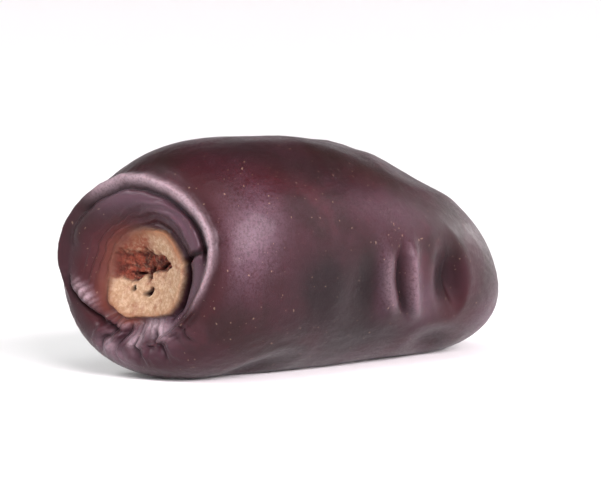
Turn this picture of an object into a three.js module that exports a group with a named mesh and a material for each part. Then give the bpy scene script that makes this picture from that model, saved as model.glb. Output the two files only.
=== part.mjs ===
// A mazafati date: a soft, dark date with its cap pulled off, lying on its side.
// The fruit is one solid. Its outline is turned on a lathe as a smooth barrel, and its skin is then moved in
// and out by formulas: the cup and the folded collar at the stem end, the corky scar where the cap sat, the
// hollows and pleats of skin that has dried on softer flesh, and the small flat spot that it rests on.
// Millimetres, +Z up. The stem end faces -X, the tip +X. The origin is under the middle, on the surface.
import * as THREE from "three";

const { smootherstep, degToRad, radToDeg } = THREE.MathUtils;

// Driving dimensions.
const LENGTH = 40; // stem end to tip, before the cup is pressed in
const STEM_LENGTH = 15.5; // stem end to the widest ring
const HEIGHT = 20.4;
const WIDTH = 21;
const STEM_BLUNTNESS = 4.5; // superellipse powers: 2 is an ellipse, and more is blunter
const TIP_BLUNTNESS = 3.6;
const RADIUS = HEIGHT / 2;
const TIP_LENGTH = LENGTH - STEM_LENGTH;

// How the fruit departs from a turned shape.
const STEM_DROOP = 1.5; // how far each end hangs, which makes the underside nearly straight
const TIP_DROOP = 2.8;
const TOP_FALL = 4.2; // the top falls this far more towards the tip than the underside
const TOP_FALL_POWER = 1.2; // 1 falls evenly, and more falls later
const SIDE_BOW = 0.9; // both ends bend this far towards +Y
const END_SKEW = 0.2; // the stem end faces a little towards -Y: slope of its face
const END_SKEW_FADE = 6;
const FLAT_SINK = 0.5; // how much of the soft underside is pressed flat
const FLAT_BLEND = 0.3; // how softly the flat spot runs out into the skin

// The stem end: a cup with a folded collar, and the scar in its floor.
// Angles run round the fruit from -Y (0) over the top (90) to +Y (180) and the underside (270).
const CUP = { depth: 3.0, radius: 8.9 };
// right and up are measured on the stem end as it is seen from -X, from the middle of the barrel.
const COLLAR = { right: -0.7, up: 0.95, radius: 6.85, height: 0.75, width: 0.46, from: -85, to: 190, fade: 50 };
const COLLAR_BULGE = { at: 14, spread: 38, size: 1.3 }; // the rim stands out here, at the right
const CREASE = { inset: 0.75, depth: 0.6, width: 0.34, from: -5, to: 132, fade: 26 };
// A second crease runs under the swollen fold on the left, and ends in the puckers. radius, like the
// collar's, is from the collar's middle, and grows by size about one angle.
const LOWER_CREASE = { radius: 6.1, depth: 0.5, width: 0.36, from: 194, to: 272, fade: 24 };
const LOWER_CREASE_BULGE = { at: 205, spread: 20, size: 1.2 };
const PUCKERS = { count: 19, sway: 1.3, height: 0.26, inner: 3.6, outer: 7.2, from: 228, to: 322, fade: 24 };
const PUCKER_RUN_IN = 1;
const PUCKER_RUN_OUT = 2.2;
const SCAR = { right: 0.55, up: 0.1, radius: 3.7, rise: 0.6, edge: 0.08 };
const SCAR_MOAT = { distance: 1.17, width: 0.1, depth: 0.45, least: 0.1 };

// Waves that make the scar's outline uneven. Sizes are shares of the radius.
const SCAR_WAVES = [
  { waves: 1, size: -0.05, phase: 0 },
  { waves: 2, size: 0.05, phase: -150 },
  { waves: 5, size: 0.035, phase: 40 },
];

// Torn hollows and holes in the scar, the end of the crease, and one swollen fold on the left. right and up
// are from the middle of the scar, wide and high are half sizes, and turn swings the wide way up.
const SCAR_MARKS = [
  { right: 0.4, up: 1.0, wide: 1.6, high: 0.85, turn: 8, height: -0.55 },
  { right: 1.7, up: 1.1, wide: 0.7, high: 0.42, turn: 32, height: -0.85 },
  { right: -0.7, up: 0.1, wide: 0.6, high: 0.42, turn: -15, height: -0.5 },
  { right: -1.0, up: -0.95, wide: 0.4, high: 0.34, turn: 0, height: -0.55 },
  { right: 0.3, up: -1.3, wide: 0.48, high: 0.38, turn: 25, height: -0.65 },
  { right: 4.95, up: 1.75, wide: 1.3, high: 0.4, turn: 40, height: -0.5 },
  { right: -5.5, up: -1.7, wide: 1.0, high: 1.35, turn: -25, height: 0.5 },
];

// The dimple at the tip, with what is left of the flower in its middle.
const TIP_DIMPLE = { radius: 1.5, depth: 0.35 };
const TIP_BEAD = { radius: 0.55, height: 0.3 };

// Hollows in the skin. x is the distance from the stem end and at the angle round the fruit. long and wide
// are half sizes, turn swings the long side from the axis, rim is where the wall starts, and lip is raised.
const HOLLOWS = [
  { x: 27.6, at: -6, long: 2.7, wide: 3.7, turn: 16, depth: 1.0, rim: 0.0, lip: 0.05 }, // beside the tip
  { x: 28.7, at: -7, long: 1.3, wide: 3.0, turn: 16, depth: 0.5, rim: 0.1, lip: 0.0 }, // its deepest part
  { x: 18.6, at: -14, long: 4.8, wide: 4.4, turn: 10, depth: 0.62, rim: 0.0, lip: 0.06 }, // front
  { x: 13.4, at: 47, long: 7.5, wide: 3.4, turn: -12, depth: 0.42, rim: 0.0, lip: 0.05 }, // front, high
  { x: 28.5, at: 62, long: 5.5, wide: 3.0, turn: 20, depth: 0.42, rim: 0.0, lip: 0.08 },
  { x: 22.0, at: 112, long: 6.5, wide: 3.4, turn: -14, depth: 0.55, rim: 0.1, lip: 0.1 }, // top
  { x: 15.0, at: 196, long: 5.4, wide: 4.4, turn: 32, depth: 1.35, rim: 0.2, lip: 0.14 }, // back, a deep one
  { x: 29.0, at: 158, long: 4.2, wide: 3.0, turn: -35, depth: 0.8, rim: 0.1, lip: 0.1 },
  { x: 7.8, at: 148, long: 3.6, wide: 2.8, turn: 60, depth: 0.5, rim: 0.0, lip: 0.06 },
  { x: 26.0, at: 228, long: 7.0, wide: 2.6, turn: 8, depth: 0.75, rim: 0.1, lip: 0.1 },
  { x: 9.5, at: 296, long: 4.0, wide: 2.8, turn: 20, depth: 0.4, rim: 0.0, lip: 0.05 },
  { x: 30.0, at: 308, long: 4.0, wide: 2.6, turn: -15, depth: 0.55, rim: 0.0, lip: 0.08 },
];
const HOLLOW_EDGE = 1.15; // where a hollow ends, in half sizes
const LIP_WIDTH = 0.22;

// Pleats of raised skin, or valleys where height is negative. reach is half the length and bow bends the line.
const PLEATS = [
  { x: 19.6, at: -11, turn: 112, reach: 4.6, width: 0.85, bow: -0.045, height: 0.45 }, // two in front, upright
  { x: 22.8, at: -12, turn: 112, reach: 5.2, width: 0.95, bow: -0.055, height: 0.55 },
  { x: 21.2, at: -12, turn: 112, reach: 4.6, width: 0.65, bow: -0.05, height: -0.5 },
  { x: 25.5, at: 92, turn: 4, reach: 6.5, width: 0.6, bow: 0.012, height: 0.3 }, // top, catches the light
  { x: 14.6, at: 188, turn: 62, reach: 5.0, width: 0.6, bow: 0.03, height: 0.42 }, // through the deep hollow
  { x: 17.6, at: 203, turn: 118, reach: 3.6, width: 0.55, bow: -0.04, height: 0.3 },
  { x: 26.4, at: 164, turn: 38, reach: 5.2, width: 0.55, bow: 0.04, height: 0.34 },
  { x: 30.4, at: 172, turn: 52, reach: 4.2, width: 0.6, bow: 0.03, height: 0.32 },
  { x: 24.0, at: 217, turn: 6, reach: 8.5, width: 0.65, bow: -0.012, height: 0.38 },
  { x: 25.0, at: 241, turn: 12, reach: 6.5, width: 0.6, bow: 0.01, height: 0.3 },
];
const PLEAT_TAPER = 0.3; // a pleat keeps its full height this far out from its middle, as a share of its reach

// Soft flats and shoulders round the section: waves round the fruit, each drifting along it.
const SECTION_WAVES = [
  { waves: 2, size: 0.012, phase: 30, drift: 1.2 },
  { waves: 3, size: 0.017, phase: 75, drift: -2.2 },
  { waves: 5, size: 0.008, phase: 10, drift: 3.1 },
];
const WAVES_INNER = 3; // the waves fade out between these distances from the axis
const WAVES_OUTER = 8;

// Mesh fineness.
const SEGMENTS = 72;
const FACE_RINGS = 24;
const BODY_RINGS = 56;
const FACE_SHARE = 0.2; // how much of the outline, from the middle of the stem end, gets the face's rings
const BODY_START = 0.4; // hollows and pleats fade in between these distances from the stem end
const BODY_FULL = 3;
const ON_AXIS = 1e-6; // nearer the axis than this, a point is one of the barrel's two poles

const bell = (distance, width) => Math.exp(-((distance / width) ** 2));

// An angle difference brought into -pi to pi.
const wrapped = (angle) => Math.atan2(Math.sin(angle), Math.cos(angle));

// 1 from one angle to another, fading to 0 outside them. The limits are in degrees.
function arcWindow(angle, { from, to, fade }) {
  const off = radToDeg(Math.abs(wrapped(angle - degToRad((from + to) / 2))));
  return 1 - smootherstep(off, (to - from - fade) / 2, (to - from + fade) / 2);
}

// The outline from the middle of the stem end to the tip: two half superellipses that meet at the widest ring.
class Outline extends THREE.Curve {
  getPoint(t, target = new THREE.Vector2()) {
    const turn = t * Math.PI;
    const onStem = turn < Math.PI / 2;
    const power = 2 / (onStem ? STEM_BLUNTNESS : TIP_BLUNTNESS);
    const out = RADIUS * Math.abs(Math.sin(turn)) ** power;
    const along = Math.abs(Math.cos(turn)) ** power;
    return target.set(t === 1 ? 0 : out, STEM_LENGTH + (onStem ? -STEM_LENGTH : TIP_LENGTH) * along);
  }
}

// Points along the outline, closer together on the stem end, whose relief is finest.
function outlinePoints() {
  const outline = new Outline();
  outline.arcLengthDivisions = 4000;
  const points = [];
  for (let i = 0; i < FACE_RINGS; i++) points.push(outline.getPointAt((FACE_SHARE * i) / FACE_RINGS));
  for (let i = 0; i <= BODY_RINGS; i++)
    points.push(outline.getPointAt(FACE_SHARE + ((1 - FACE_SHARE) * i) / BODY_RINGS));
  points[0].x = 0;
  return points;
}

// Distances along and across a feature that lies on the skin.
function onFeature({ x, at, turn }, along, angle, radius) {
  const forward = along - x;
  const round = wrapped(angle - degToRad(at)) * radius;
  const swing = degToRad(turn);
  return {
    lengthwise: forward * Math.cos(swing) + round * Math.sin(swing),
    across: round * Math.cos(swing) - forward * Math.sin(swing),
  };
}

function hollowHeight(hollow, along, angle, radius) {
  const { lengthwise, across } = onFeature(hollow, along, angle, radius);
  const distance = Math.hypot(lengthwise / hollow.long, across / hollow.wide);
  const sunk = 1 - smootherstep(distance, hollow.rim, HOLLOW_EDGE);
  return hollow.lip * bell(distance - HOLLOW_EDGE, LIP_WIDTH) - hollow.depth * sunk;
}

function pleatHeight(pleat, along, angle, radius) {
  const { lengthwise, across } = onFeature(pleat, along, angle, radius);
  const taper = 1 - smootherstep(Math.abs(lengthwise) / pleat.reach, PLEAT_TAPER, 1);
  return pleat.height * taper * bell(across - pleat.bow * lengthwise ** 2, pleat.width);
}

// How much a rim stands out at an angle.
const bulgeAt = (angle, { at, spread, size }) => size * bell(radToDeg(wrapped(angle - degToRad(at))), spread);

// The collar and its creases are round about a middle of their own.
function collarHeight(right, up) {
  const angle = Math.atan2(up - COLLAR.up, right - COLLAR.right);
  const distance = Math.hypot(right - COLLAR.right, up - COLLAR.up);
  const fromRim = distance - COLLAR.radius - bulgeAt(angle, COLLAR_BULGE);
  const fromLower = distance - LOWER_CREASE.radius - bulgeAt(angle, LOWER_CREASE_BULGE);
  const fold = COLLAR.height * arcWindow(angle, COLLAR) * bell(fromRim, COLLAR.width);
  const crease = CREASE.depth * arcWindow(angle, CREASE) * bell(fromRim + CREASE.inset, CREASE.width);
  const lower = LOWER_CREASE.depth * arcWindow(angle, LOWER_CREASE) * bell(fromLower, LOWER_CREASE.width);
  return fold - crease - lower;
}

// Radial folds where the skin is gathered below the scar.
function puckerHeight(angle, radius) {
  const runIn = smootherstep(radius, PUCKERS.inner, PUCKERS.inner + PUCKER_RUN_IN);
  const runOut = 1 - smootherstep(radius, PUCKERS.outer - PUCKER_RUN_OUT, PUCKERS.outer);
  const folds = Math.cos(PUCKERS.count * angle + PUCKERS.sway * Math.sin(3 * angle));
  return PUCKERS.height * arcWindow(angle, PUCKERS) * runIn * runOut * folds;
}

// The scar: a corky disc that stands up from the cup's floor, with an uneven edge and torn hollows. The moat
// round it is deepest on the right.
function scarHeight(right, up) {
  const angle = Math.atan2(up - SCAR.up, right - SCAR.right);
  let outline = SCAR.radius;
  for (const { waves, size, phase } of SCAR_WAVES)
    outline += SCAR.radius * size * Math.cos(waves * angle + degToRad(phase));
  const distance = Math.hypot(right - SCAR.right, up - SCAR.up) / outline;
  const disc = 1 - smootherstep(distance, 1 - SCAR.edge, 1 + SCAR.edge);
  const moatShare = SCAR_MOAT.least + (1 - SCAR_MOAT.least) * (0.5 + 0.5 * Math.cos(angle));
  const moat = moatShare * bell(distance - SCAR_MOAT.distance, SCAR_MOAT.width);
  let height = SCAR.rise * disc - SCAR_MOAT.depth * moat;
  for (const mark of SCAR_MARKS) {
    const swing = degToRad(mark.turn);
    const dx = right - SCAR.right - mark.right;
    const dy = up - SCAR.up - mark.up;
    const wide = (dx * Math.cos(swing) + dy * Math.sin(swing)) / mark.wide;
    const high = (dy * Math.cos(swing) - dx * Math.sin(swing)) / mark.high;
    height += mark.height * bell(Math.hypot(wide, high), 1);
  }
  return height;
}

// How far the skin stands out from the turned barrel at one point.
function skinHeight(along, angle, radius) {
  let height = 0;
  if (along < STEM_LENGTH) {
    const cup = Math.max(0, 1 - (radius / CUP.radius) ** 2) ** 2;
    const right = radius * Math.cos(angle);
    const up = radius * Math.sin(angle);
    height += collarHeight(right, up) + scarHeight(right, up) + puckerHeight(angle, radius) - CUP.depth * cup;
  } else {
    height += TIP_BEAD.height * bell(radius, TIP_BEAD.radius);
    height -= TIP_DIMPLE.depth * bell(radius, TIP_DIMPLE.radius);
  }
  const onBody = smootherstep(along, BODY_START, BODY_FULL);
  for (const hollow of HOLLOWS) height += onBody * hollowHeight(hollow, along, angle, radius);
  for (const pleat of PLEATS) height += onBody * pleatHeight(pleat, along, angle, radius);
  return height;
}

// Moves one point of the barrel to the skin, and bends the fruit.
function shapePoint(point, normal) {
  const along = point.x;
  const radius = Math.hypot(point.y, point.z);
  const angle = Math.atan2(point.z, -point.y);
  point.addScaledVector(normal, skinHeight(along, angle, radius));

  const waveShare = smootherstep(radius, WAVES_INNER, WAVES_OUTER);
  let section = 1;
  for (const { waves, size, phase, drift } of SECTION_WAVES)
    section += size * waveShare * Math.cos(waves * (angle - degToRad(phase + drift * along)));
  point.y *= (section * WIDTH) / HEIGHT;
  point.z *= section;

  const toStem = Math.max(0, STEM_LENGTH - along) / STEM_LENGTH;
  const toTip = Math.max(0, along - STEM_LENGTH) / TIP_LENGTH;
  const topShare = 0.5 + (0.5 * point.z) / RADIUS;
  point.z -= STEM_DROOP * toStem ** 3 + TIP_DROOP * toTip ** 3 + TOP_FALL * topShare * toTip ** TOP_FALL_POWER;
  point.x -= END_SKEW * point.y * Math.exp(-along / END_SKEW_FADE);
  point.y += SIDE_BOW * ((along - LENGTH / 2) / (LENGTH / 2)) ** 2;
}

// Presses the lowest skin flat, with a soft edge.
function restOnSurface(positions) {
  let lowest = Infinity;
  for (let i = 0; i < positions.count; i++) lowest = Math.min(lowest, positions.getZ(i));
  for (let i = 0; i < positions.count; i++) {
    const clear = positions.getZ(i) - lowest - FLAT_SINK;
    const soft = Math.max(FLAT_BLEND - Math.abs(clear), 0) ** 2 / (4 * FLAT_BLEND);
    positions.setZ(i, Math.max(clear, 0) + soft);
  }
}

function makeDate() {
  const geometry = new THREE.LatheGeometry(outlinePoints(), SEGMENTS);
  geometry.rotateZ(-Math.PI / 2); // the lathe turns about Y, and the fruit lies along X
  const positions = geometry.attributes.position;
  const normals = geometry.attributes.normal;
  const point = new THREE.Vector3();
  const normal = new THREE.Vector3();
  for (let i = 0; i < positions.count; i++) {
    point.fromBufferAttribute(positions, i);
    normal.fromBufferAttribute(normals, i);
    if (Math.hypot(point.y, point.z) < ON_AXIS) {
      point.set(point.x, 0, 0);
      normal.set(Math.sign(point.x - STEM_LENGTH), 0, 0);
    }
    shapePoint(point, normal);
    positions.setXYZ(i, point.x, point.y, point.z);
  }
  restOnSurface(positions);
  geometry.computeBoundingBox();
  const middle = geometry.boundingBox.getCenter(new THREE.Vector3());
  geometry.translate(-middle.x, -middle.y, 0);
  geometry.computeVertexNormals();

  const skin = new THREE.MeshStandardMaterial({ color: 0x3a1a20, roughness: 0.38, metalness: 0 });
  const date = new THREE.Mesh(geometry, skin);
  date.name = "date";
  return date;
}

const root = new THREE.Group();
root.add(makeDate());

export default root;
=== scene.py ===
# %% [markdown]
# # A mazafati date in Blender
# A mazafati is a soft, nearly black date. Its skin is thin, glossy and a little loose, so it dries into
# pleats and hollows. The cap has been pulled off, which leaves a corky scar in a cup at the stem end. This
# lesson rebuilds one such fruit around a plain solid that is already the right size. The first cell loads
# that solid and keeps its box, because nothing that we add may outgrow it.

# %% Load the solid
import math

import bmesh
import bpy
import numpy as np
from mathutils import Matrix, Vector, noise


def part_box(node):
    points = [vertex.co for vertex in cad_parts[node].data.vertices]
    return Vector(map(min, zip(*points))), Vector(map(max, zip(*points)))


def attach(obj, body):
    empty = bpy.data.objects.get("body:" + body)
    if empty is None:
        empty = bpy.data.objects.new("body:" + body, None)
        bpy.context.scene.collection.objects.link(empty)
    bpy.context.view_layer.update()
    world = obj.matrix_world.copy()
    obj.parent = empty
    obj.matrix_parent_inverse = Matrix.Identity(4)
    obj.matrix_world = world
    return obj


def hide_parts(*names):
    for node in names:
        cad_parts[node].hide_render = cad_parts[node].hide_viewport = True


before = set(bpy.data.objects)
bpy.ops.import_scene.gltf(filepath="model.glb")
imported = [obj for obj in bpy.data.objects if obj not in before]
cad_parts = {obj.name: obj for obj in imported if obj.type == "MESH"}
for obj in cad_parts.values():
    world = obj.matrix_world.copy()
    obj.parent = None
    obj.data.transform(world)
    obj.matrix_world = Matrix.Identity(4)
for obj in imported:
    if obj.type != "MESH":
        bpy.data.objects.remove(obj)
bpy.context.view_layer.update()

MM = 0.001
solid_low, solid_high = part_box("date")
print("solid, mm:", [round((high - low) / MM, 2) for low, high in zip(solid_low, solid_high)])

# %% [markdown]
# ## The turned barrel
# Under its wrinkles the fruit is a barrel with blunt ends. A box or a sphere could be pushed into that
# shape, but a turned shape is quicker and more even: a row of vertices along the outline is spun once round
# the X axis. A full spin leaves one copy of each end point for every step, so the copies on the axis are
# merged before the normals are made to point outwards.

# %% A helper that spins a profile
ON_AXIS, MERGE_WITHIN = 1e-5, 1e-4


def turned_mesh(name, points, axis, steps):
    """The mesh that a row of points leaves when it is spun once round an axis through the origin."""
    bm = bmesh.new()
    profile = [bm.verts.new(point) for point in points]
    for first, second in zip(profile, profile[1:]):
        bm.edges.new((first, second))
    bmesh.ops.spin(bm, geom=bm.verts[:] + bm.edges[:], cent=(0, 0, 0), axis=axis, angle=2 * math.pi,
                   steps=steps, use_merge=True)
    poles = [v for v in bm.verts if v.co.cross(Vector(axis)).length < ON_AXIS]
    bmesh.ops.remove_doubles(bm, verts=poles, dist=MERGE_WITHIN)
    bmesh.ops.recalc_face_normals(bm, faces=bm.faces)
    mesh = bpy.data.meshes.new(name)
    bm.to_mesh(mesh)
    bm.free()
    return mesh


# %% [markdown]
# The outline is two half superellipses, a formula whose power says how blunt an end is. The rings lie closer
# together on the stem end, where the skin is most folded. These values are the solid's own, in millimetres.

# %% Turn the barrel
LENGTH, STEM_LENGTH = 40.0, 15.5
HEIGHT, WIDTH = 20.4, 21.0
RADIUS = HEIGHT / 2
TIP_LENGTH = LENGTH - STEM_LENGTH
STEM_BLUNTNESS, TIP_BLUNTNESS = 4.5, 3.6
SEGMENTS, FACE_RINGS, BODY_RINGS = 288, 112, 226
FACE_SHARE = 0.2
FINE_STEPS = 4000


def outline(turn):
    """Distances along the fruit and out from its axis. turn runs from 0 at the stem end to pi at the tip."""
    on_stem = turn < math.pi / 2
    power = np.where(on_stem, 2 / STEM_BLUNTNESS, 2 / TIP_BLUNTNESS)
    out = RADIUS * np.abs(np.sin(turn)) ** power
    reach = np.where(on_stem, -STEM_LENGTH, TIP_LENGTH)
    return STEM_LENGTH + reach * np.abs(np.cos(turn)) ** power, out


def ring_places():
    """The outline's points, spaced by length along it, with the face's share of them on the stem end."""
    along, out = outline(np.linspace(0, math.pi, FINE_STEPS + 1))
    run = np.concatenate([[0], np.cumsum(np.hypot(np.diff(along), np.diff(out)))])
    face = np.linspace(0, FACE_SHARE, FACE_RINGS, endpoint=False)
    share = np.concatenate([face, np.linspace(FACE_SHARE, 1, BODY_RINGS + 1)]) * run[-1]
    out[[0, -1]] = 0
    return np.interp(share, run, along), np.interp(share, run, out)


profile_points = [(along, -out, 0) for along, out in zip(*ring_places())]
fruit_mesh = turned_mesh("date_fruit", profile_points, (1, 0, 0), SEGMENTS)
print("barrel:", len(fruit_mesh.vertices), "vertices,", len(fruit_mesh.polygons), "faces")

# %% [markdown]
# ## Tools for pushing skin about
# A sculptor would push the skin with brushes. Here each push is a height, worked out for all vertices at
# once and laid along their normals. Three small shapes do nearly all of it: a bell for ridges and creases, a
# smooth step for walls, and a window that fades at both ends of an arc. Noise breaks up what would look
# drawn with compasses, and each of its layers has its own seed, so that it comes out the same on every run.

# %% Helpers for relief
NOISE_SHIFT = (7.3, 3.1, 5.7)


def bell(distance, width):
    return np.exp(-((distance / width) ** 2))


def step(value, low, high):
    """0 below low, 1 above high, smooth between them."""
    share = np.clip((value - low) / (high - low), 0, 1)
    return share ** 3 * (share * (share * 6 - 15) + 10)


def wrapped(angle):
    return np.arctan2(np.sin(angle), np.cos(angle))


def arc(angle, start, end, fade):
    """1 between two angles in degrees, fading to 0 outside them."""
    off = np.abs(np.degrees(wrapped(angle - math.radians((start + end) / 2))))
    return 1 - step(off, (end - start - fade) / 2, (end - start + fade) / 2)


def noise_over(places, size, seed):
    """Smooth noise, about -1 to 1, with blobs of about that size in millimetres."""
    shift = Vector([seed * part for part in NOISE_SHIFT])
    return np.array([noise.noise(Vector(place) + shift) for place in places / size])


# %% [markdown]
# Every vertex gets two addresses. One is its distance from the stem end and its angle round the fruit, from
# the front (0) over the top (90) to the back (180) and the underside (270). The other is for the stem end
# only: how far right and up it lies from the fruit's axis, as seen from that end.

# %% Where each vertex is
FACE_RADIUS = 8


def read_vectors(collection, name):
    values = np.empty(len(collection) * 3, np.float32)
    collection.foreach_get(name, values)
    return values.reshape(-1, 3).astype(float)


barrel = read_vectors(fruit_mesh.vertices, "co")
normals = read_vectors(fruit_mesh.vertex_normals, "vector")
along = barrel[:, 0]
radius = np.hypot(barrel[:, 1], barrel[:, 2])
angle = np.arctan2(barrel[:, 2], -barrel[:, 1])
right, up = radius * np.cos(angle), radius * np.sin(angle)
on_stem_end = along < STEM_LENGTH
print("stem end:", int((radius[on_stem_end] < FACE_RADIUS).sum()), "vertices inside", FACE_RADIUS, "mm")

# %% [markdown]
# ## The collar
# The cap gripped the fruit here. Round its seat runs a collar, a rolled fold of skin that stands out further
# on the right, with a sharp crease on its inner side and a soft lobe of skin inside the crease. A second
# crease cuts the lower left. All but that one follow the collar's crest, so one helper draws each of them
# from how far inside the crest it lies, how wide it is, and over which arc it runs.

# %% Collar, creases and lobe
WOBBLES = ((0.16, 1.4), (0.07, 0.5))  # height and blob size of each layer of noise
COLLAR_WOBBLE = 0.5
COLLAR_RIGHT, COLLAR_UP, COLLAR_RADIUS = -0.7, 0.95, 6.85
BULGE = (14, 38, 1.3)  # angle, spread and size of the part that stands out
COLLAR_HEIGHT, COLLAR_WIDTH, COLLAR_WIDTH_RIGHT = 0.75, 0.36, 0.26
COLLAR_ARC, WIDE_ARC = (-75, 190, 60), (40, 150, 50)  # start, end and fade, in degrees
CREASE_INSET, CREASE_DEPTH, CREASE_WIDTH, CREASE_ARC = 0.44, 0.6, 0.16, (4, 136, 16)
LOBE_INSET, LOBE_HEIGHT, LOBE_WIDTH, LOBE_ARC = 1.2, 0.5, 0.75, (4, 160, 24)
LOWER_RADIUS, LOWER_DEPTH, LOWER_WIDTH, LOWER_ARC = 5.8, 0.55, 0.22, (192, 258, 26)
LOWER_BULGE = (197, 22, 0.8)


def layered_noise(layers, seed):
    """Noise of several sizes, each with its own height, added up."""
    return sum(height * noise_over(barrel, size, seed + number) for number, (height, size) in enumerate(layers))


def bulge(at, spread, size):
    return size * bell(np.degrees(wrapped(around - math.radians(at))), spread)


def collar_ring(inset, width, window):
    return on_stem_end * bell(from_crest + inset, width) * arc(around, *window)


wobble_right, wobble_up = layered_noise(WOBBLES, seed=1), layered_noise(WOBBLES, seed=3)
collar_x = right + COLLAR_WOBBLE * wobble_right - COLLAR_RIGHT
collar_y = up + COLLAR_WOBBLE * wobble_up - COLLAR_UP
around = np.arctan2(collar_y, collar_x)
from_middle = np.hypot(collar_x, collar_y)
from_crest = from_middle - COLLAR_RADIUS - bulge(*BULGE)
from_lower = from_middle - LOWER_RADIUS - bulge(*LOWER_BULGE)
collar_width = COLLAR_WIDTH_RIGHT + (COLLAR_WIDTH - COLLAR_WIDTH_RIGHT) * arc(around, *WIDE_ARC)
collar = collar_ring(0, collar_width, COLLAR_ARC)
crease = collar_ring(CREASE_INSET, CREASE_WIDTH, CREASE_ARC)
lobe = collar_ring(LOBE_INSET, LOBE_WIDTH, LOBE_ARC)
lower_crease = on_stem_end * bell(from_lower, LOWER_WIDTH) * arc(around, *LOWER_ARC)
collar_relief = (COLLAR_HEIGHT * collar - CREASE_DEPTH * crease + LOBE_HEIGHT * lobe
                 - LOWER_DEPTH * lower_crease)
print("collar relief, mm:", round(collar_relief.min(), 2), "to", round(collar_relief.max(), 2))

# %% [markdown]
# ## Cup and puckers
# Inside the collar the skin is drawn into a shallow cup. Below the scar it was gathered like a drawstring
# bag, into puckers that run outwards from it. A cosine would make them too soft, so its absolute value is
# used, which has round crests and sharp valleys. A second, slightly faster wave crosses the first and splits
# some of them.

# %% Cup and puckers
CUP_DEPTH, CUP_RADIUS = 3.0, 8.9
PUCKER_COUNT, PUCKER_SWAY, PUCKER_HEIGHT, PUCKER_ARC = 19, 1.3, 0.4, (228, 322, 24)
PUCKER_INNER, PUCKER_OUTER, PUCKER_FADE_IN, PUCKER_FADE_OUT = 3.6, 8.6, 1.0, 2.6
PUCKER_TWIST, PUCKER_TWIST_SIZE = 0.12, 1.6
PUCKER_MEAN, PUCKER_CHANGE, PUCKER_CHANGE_SIZE = 0.6, 0.9, 1.3
CROSSING_HEIGHT, CROSSING_PACE, CROSSING_TURN = 0.25, 1.35, 4


def sharp_wave(turn):
    """A wave with round crests at 1 and sharp valleys at -1."""
    return 2 * np.abs(np.cos(turn)) - 1


cup = on_stem_end * np.maximum(0, 1 - (radius / CUP_RADIUS) ** 2) ** 2
pucker_reach = (step(radius, PUCKER_INNER, PUCKER_INNER + PUCKER_FADE_IN)
                * (1 - step(radius, PUCKER_OUTER - PUCKER_FADE_OUT, PUCKER_OUTER)))
puckers = on_stem_end * arc(angle, *PUCKER_ARC) * pucker_reach
pucker_angle = angle + PUCKER_TWIST * noise_over(barrel, PUCKER_TWIST_SIZE, seed=5)
pucker_turn = PUCKER_COUNT * pucker_angle + PUCKER_SWAY * np.sin(3 * pucker_angle)
pucker_share = PUCKER_MEAN + PUCKER_CHANGE * noise_over(barrel, PUCKER_CHANGE_SIZE, seed=18)
crossing = sharp_wave(CROSSING_PACE * pucker_turn + CROSSING_TURN * radius / PUCKER_OUTER)
pucker_folds = sharp_wave(pucker_turn / 2) * pucker_share + CROSSING_HEIGHT * crossing
stem_relief = collar_relief - CUP_DEPTH * cup + PUCKER_HEIGHT * puckers * pucker_folds
print("stem end relief, mm:", round(stem_relief.min(), 2), "to", round(stem_relief.max(), 2))

# %% [markdown]
# ## The scar
# Where the cap sat there is a plate of dry, corky tissue, the colour of a biscuit. It stands a little above
# the floor of the cup, sinks into it at the upper left, and has a gap on its right. Two of its sides broke
# off straight. A circle with low waves gives the outline, and the straight sides are joined to it by a norm
# with a high power, which takes the nearest of them and rounds the corners where they meet.

# %% Plate and gap
SCAR_RIGHT, SCAR_UP, SCAR_RADIUS = 0.55, 0.1, 4.15
SCAR_RISE, SCAR_EDGE = 0.6, 0.05
SCAR_SUNK, SUNK_ARC = 0.75, (95, 200, 50)
SCAR_WAVES = ((2, 0.06, -80), (5, 0.02, 40), (7, 0.015, 10))  # waves round it, size, phase
SCAR_SIDES = ((-14, 3.75), (-83, 3.4))  # straight sides: angle they face, distance
CORNER_POWER = 12
GAP_DISTANCE, GAP_WIDTH, GAP_DEPTH, GAP_LEAST, GAP_ARC = 1.13, 0.07, 0.7, 0.05, (-50, 26, 30)

scar_right = right + wobble_right - SCAR_RIGHT
scar_up = up + wobble_up - SCAR_UP
scar_angle = np.arctan2(scar_up, scar_right)
scar_outline = SCAR_RADIUS * (1 + sum(size * np.cos(waves * scar_angle + math.radians(phase))
                                      for waves, size, phase in SCAR_WAVES))
sides = [np.hypot(scar_right, scar_up) / scar_outline]
for faces, away in SCAR_SIDES:
    toward = scar_right * math.cos(math.radians(faces)) + scar_up * math.sin(math.radians(faces))
    sides.append(np.maximum(toward, 0) / away)
scar_distance = sum(side ** CORNER_POWER for side in sides) ** (1 / CORNER_POWER)
scar = on_stem_end * (1 - step(scar_distance, 1 - SCAR_EDGE, 1 + SCAR_EDGE))
plate = (1 - SCAR_SUNK * arc(scar_angle, *SUNK_ARC)) * scar
gap_share = GAP_LEAST + (1 - GAP_LEAST) * arc(scar_angle, *GAP_ARC)
gap = on_stem_end * gap_share * bell(scar_distance - GAP_DISTANCE, GAP_WIDTH)
print("scar:", int((scar > 0.5).sum()), "vertices")

# %% [markdown]
# The plate's middle was torn out with the cap, so it holds a ragged hollow, deeper slits and two small
# holes. Each is a group of leaning oval bells. Noise is added to the group before a step cuts it off at one
# level, and that is what frays its edge. Cork is granular, so it also gets noise of three sizes, and the
# torn part gets fibres that run outwards.

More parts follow.
